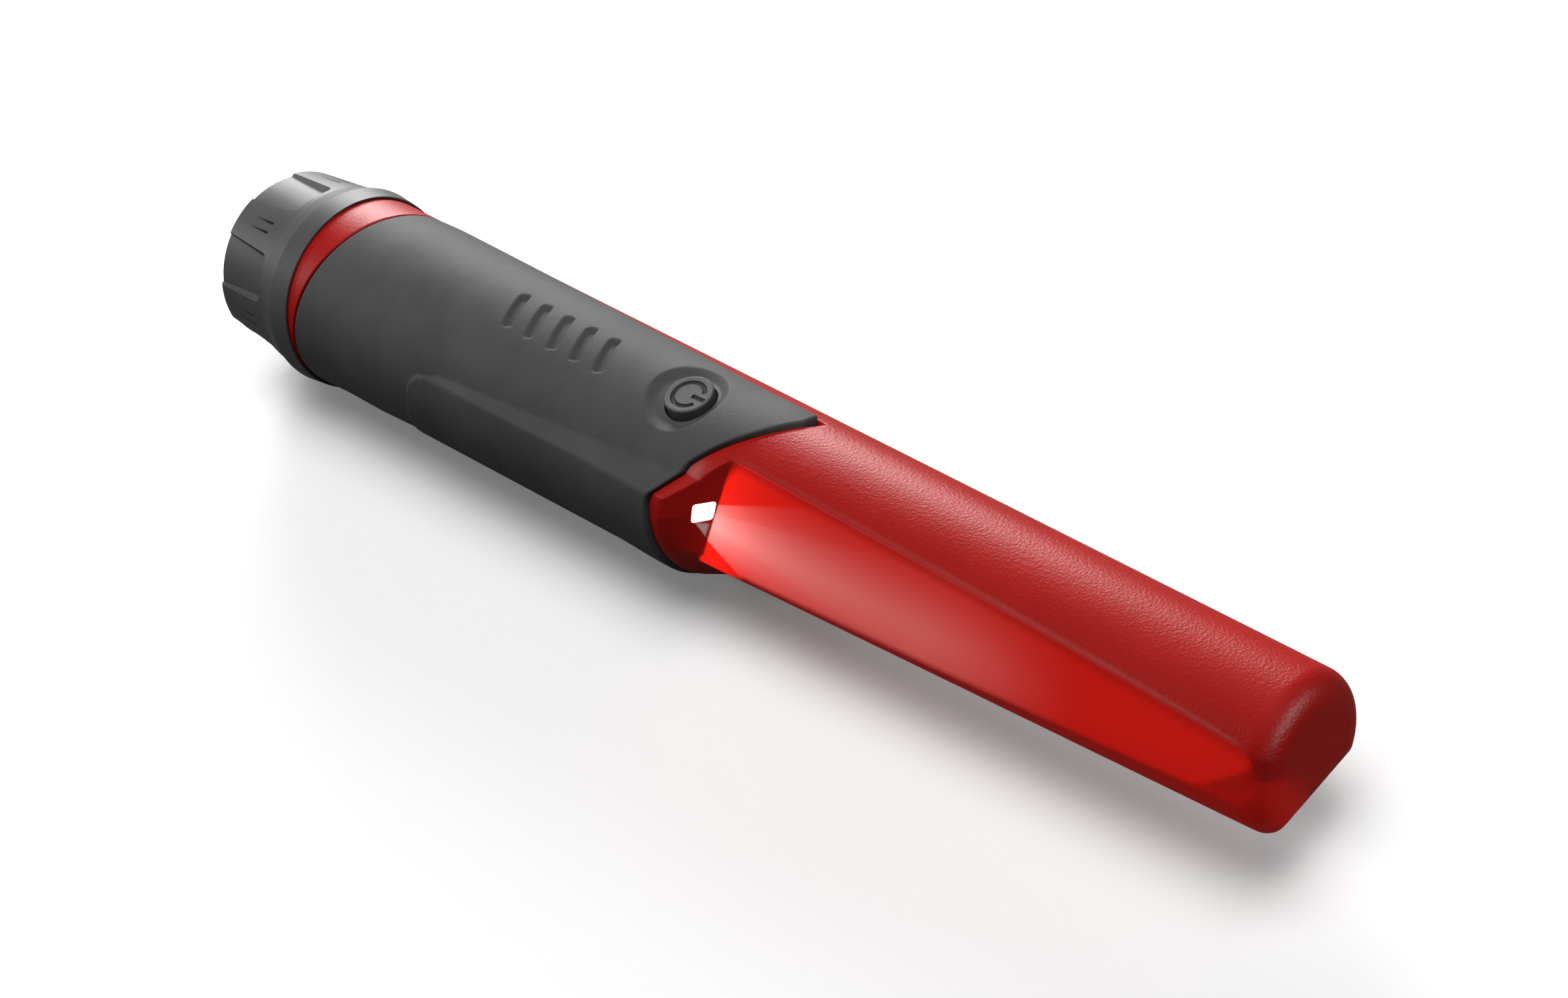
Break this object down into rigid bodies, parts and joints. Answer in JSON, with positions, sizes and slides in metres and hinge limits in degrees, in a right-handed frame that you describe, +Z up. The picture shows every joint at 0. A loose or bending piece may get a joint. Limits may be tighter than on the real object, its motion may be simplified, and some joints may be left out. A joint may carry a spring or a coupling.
{
  "type": "pinpointer probe",
  "caption": "Handheld metal-detecting pinpointer: tapered probe tube with a rubber grip, power button, lamp over a probe flat, and a screw cap over the battery.",
  "frame": {"origin": "centre of the bounding box's bottom, under the axis halfway between the cap's end and the tip", "axes": "+X along the axis towards the probe tip, +Z up through the power button, -Y towards the lamp side"},
  "size_m": [0.25, 0.0402, 0.0403],
  "materials": {
    "red_plastic": "fine leather grain, satin",
    "grip_rubber": "fine sandblasted grain, matte",
    "clear_lens": "clear, frosted back, lit from behind",
    "led": "moulded emitter",
    "circuit_board": "solder mask over glass fibre",
    "wire": "insulated wire",
    "nylon": "natural nylon",
    "steel": "plated",
    "chip_plastic": "moulded black plastic",
    "capacitor_sleeve": "shrink sleeve",
    "ferrite": "ground ferrite",
    "copper_wire": "enamelled copper",
    "foam": "closed-cell foam",
    "battery_case": "plain painted case",
    "contact_brass": "plated leaf",
    "button_rubber": "smooth satin rubber",
    "seal_rubber": "nitrile",
    "cap_plastic": "satin moulded plastic with a fine spark texture"
  },
  "bodies": {
    "housing": {"probe_shell": "red_plastic", "grip_sleeve": "grip_rubber", "lamp_window": "clear_lens", "lamp_led": "led", "lamp_board": "circuit_board", "lamp_leads": "wire", "board_carrier": "nylon", "snap_ring": "steel", "main_board": "circuit_board", "board_screws": "steel", "board_chips": "chip_plastic", "filter_capacitors": "capacitor_sleeve", "switch_body": "chip_plastic", "sounder": "chip_plastic", "motor_can": "steel", "ferrite_rod": "ferrite", "coil_bobbin": "nylon", "search_winding": "copper_wire", "coil_leads": "copper_wire", "tip_cushion": "foam", "battery_block": "battery_case", "battery_terminals": "steel", "contact_plate": "circuit_board", "contact_leaves": "contact_brass", "battery_leads": "wire"},
    "power_button": {"button_key": "button_rubber", "button_seal": "seal_rubber", "switch_stem": "nylon"},
    "buzz_rotor": {"motor_shaft": "steel", "motor_weight": "steel"},
    "pressure_pad": {"swivel_plate": "nylon", "battery_foam": "foam"},
    "screw_cap": {"end_cap": "cap_plastic", "cap_seal": "seal_rubber"}
  },
  "joints": [
    {"name": "button_press", "type": "slide", "parent": "housing", "child": "power_button", "axis": [0, 0, -1], "range_m": [0, 0.0006], "stiffness_N_per_m": 4000},
    {"name": "buzz_spin", "type": "hinge", "parent": "housing", "child": "buzz_rotor", "pos_m": [-0.0356, 0, 0.01605], "axis": [1, 0, 0], "continuous": true},
    {"name": "cap_travel", "type": "slide", "parent": "housing", "child": "pressure_pad", "axis": [-1, 0, 0], "range_m": [0, 0.0101]},
    {"name": "cap_turn", "type": "hinge", "parent": "pressure_pad", "child": "screw_cap", "pos_m": [-0.1135, 0, 0.02015], "axis": [-1, 0, 0], "range_deg": [0, 720]}
  ],
  "couplings": [
    {"joint": "cap_travel", "follows": "cap_turn", "m_per_rad": 0.00079577}
  ]
}
